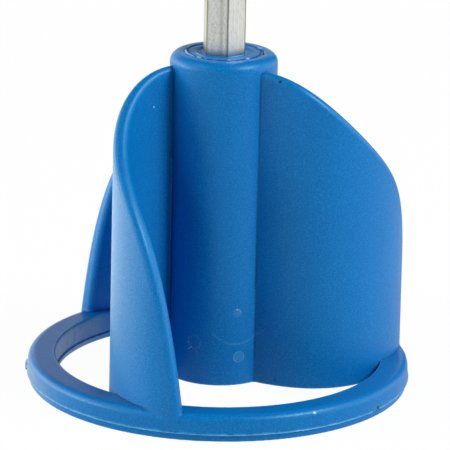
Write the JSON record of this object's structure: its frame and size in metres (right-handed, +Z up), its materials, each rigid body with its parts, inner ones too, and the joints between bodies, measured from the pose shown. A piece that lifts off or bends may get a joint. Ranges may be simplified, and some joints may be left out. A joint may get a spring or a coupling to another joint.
{
  "type": "mixing paddle",
  "caption": "Mixing paddle for a drill: moulded blue plastic head with curved blades on a foot ring, on a long hexagonal zinc-plated steel shank.",
  "frame": {"origin": "on the shank's axis, in the plane that the foot ring rests on", "axes": "+Z up along the shank, from the ring to the end that goes into the machine; the blades end on the ring at 11 degrees clockwise of -Y, seen from above, and every 120 degrees from there"},
  "size_m": [0.08, 0.08, 0.4],
  "materials": {
    "head_plastic": "satin moulded, fine grain",
    "core_plastic": "satin moulded",
    "zinc_plated_steel": "zinc-plated drawn bar, fine lengthwise marks"
  },
  "bodies": {
    "root": {"head": "head_plastic", "hub_core": "core_plastic", "shank": "zinc_plated_steel"}
  },
  "joints": []
}
